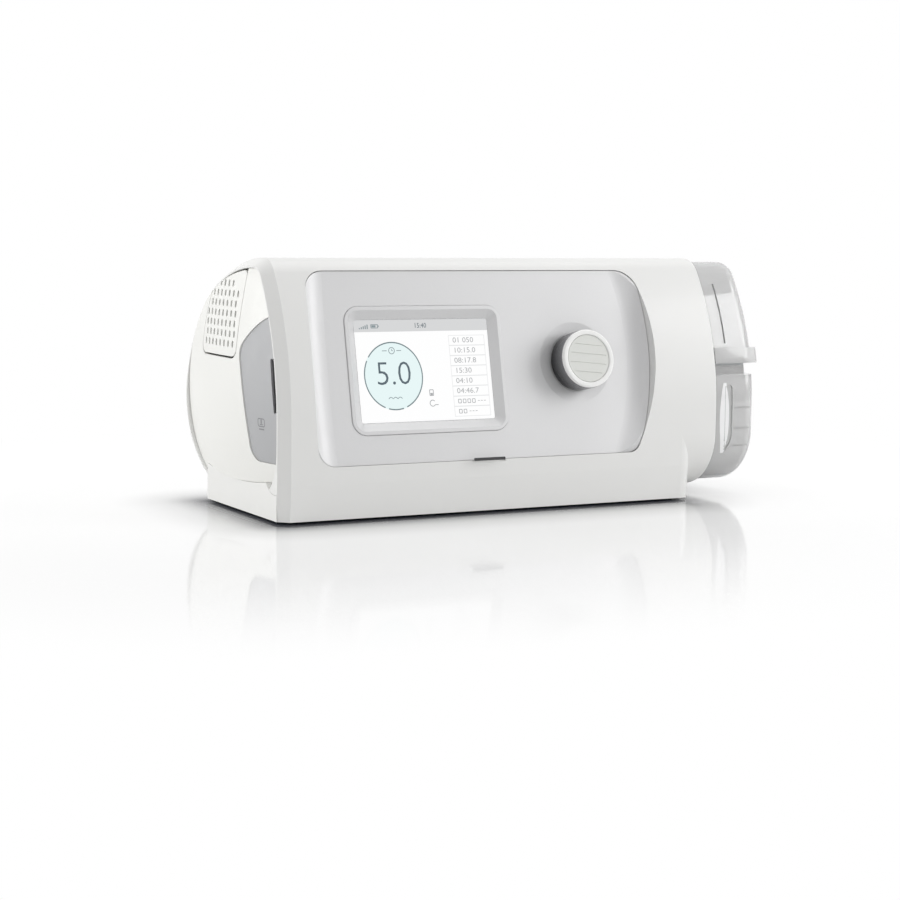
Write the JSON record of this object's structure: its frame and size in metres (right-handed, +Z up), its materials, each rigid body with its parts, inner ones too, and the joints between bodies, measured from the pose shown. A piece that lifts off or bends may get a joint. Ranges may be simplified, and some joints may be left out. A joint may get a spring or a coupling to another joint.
{
  "type": "CPAP machine",
  "caption": "Bedside positive airway pressure machine: barrel-shaped casing with a dished front panel, screen, dial, slotted filter cover and slide-in clear humidifier tank.",
  "frame": {"origin": "centre of the overall box at table height, under the feet", "axes": "+X towards the humidifier tank, -Y out of the screen and dial side, +Z up"},
  "size_m": [0.2815, 0.1326, 0.1244],
  "materials": {
    "casing_white": "satin",
    "cap_white": "satin",
    "side_grey": "fine matte",
    "panel_silver": "silver lacquer on plastic, satin",
    "bezel_silver": "silver lacquer on plastic, satin",
    "screen_clear": "polished",
    "display": "lit liquid crystal display",
    "knob_dark": "smooth",
    "knob_white": "smooth",
    "knob_grey": "satin",
    "tank_clear": "clear, polished",
    "seal_rubber": "silicone",
    "foot_rubber": "soft",
    "steel": "brushed",
    "screw_steel": "zinc plated",
    "board_green": "solder mask",
    "inner_white": "moulded",
    "inner_black": "moulded",
    "foam_grey": "open-cell foam",
    "copper": "enamelled winding"
  },
  "bodies": {
    "casing": {"front_shell": "casing_white", "rear_shell": "casing_white", "base_tray": "casing_white", "rubber_feet": "foot_rubber", "case_screws": "screw_steel", "left_end_cap": "cap_white", "side_panel": "side_grey", "sd_socket": "steel", "filter_frame": "inner_white", "filter_foam": "foam_grey", "front_panel": "panel_silver", "screen_bezel": "bezel_silver", "screen_lens": "screen_clear", "lcd_module": "display", "display_board": "board_green", "encoder_body": "inner_black", "main_board": "board_green", "blower_housing": "inner_black", "blower_cover": "inner_black", "motor_stator": "copper", "blower_mounts": "foot_rubber", "blower_cradle": "inner_white", "inlet_duct": "inner_white", "supply_duct": "inner_white", "bay_liner": "inner_white", "port_seals": "seal_rubber", "heater_plate": "steel", "air_outlet": "inner_white", "dc_inlet": "inner_black"},
    "filter_door": {"filter_cover": "cap_white"},
    "card": {"sd_card": "inner_black"},
    "plunger": {"encoder_plunger": "steel"},
    "knob": {"encoder_shaft": "steel", "knob_body": "knob_dark", "knob_ring": "knob_white", "knob_cap": "knob_grey"},
    "rotor": {"impeller": "inner_white", "motor_rotor": "steel"},
    "tank": {"tank_tub": "tank_clear", "tank_lid": "tank_clear", "tank_seal": "seal_rubber", "tank_base_plate": "steel", "latch_pin": "steel"},
    "latch": {"tank_latch": "tank_clear"}
  },
  "joints": [
    {"name": "filter_cover_swing", "type": "hinge", "parent": "casing", "child": "filter_door", "pos_m": [-0.13435, -0.01826, 0.1158], "axis": [-0.0385, 0.9617, -0.2715], "range_deg": [0, 34]},
    {"name": "card_slide", "type": "slide", "parent": "casing", "child": "card", "axis": [-0.9135, -0.4033, 0.0531], "range_m": [-0.001, 0.026]},
    {"name": "knob_press", "type": "slide", "parent": "casing", "child": "plunger", "axis": [0, 0.9763, -0.2164], "range_m": [0, 0.0008], "stiffness_N_per_m": 900, "springref_m": -0.002},
    {"name": "knob_turn", "type": "hinge", "parent": "plunger", "child": "knob", "pos_m": [0.03035, -0.04998, 0.07237], "axis": [0, -0.9763, 0.2164], "continuous": true},
    {"name": "impeller_spin", "type": "hinge", "parent": "casing", "child": "rotor", "pos_m": [-0.05815, 0.01634, 0.0312], "axis": [0, 0, 1], "continuous": true},
    {"name": "tank_slide", "type": "slide", "parent": "casing", "child": "tank", "axis": [1, 0, 0], "range_m": [0, 0.1]},
    {"name": "latch_swing", "type": "hinge", "parent": "tank", "child": "latch", "pos_m": [0.13525, -0.00166, 0.1062], "axis": [0, -1, 0], "range_deg": [0, 35]}
  ]
}
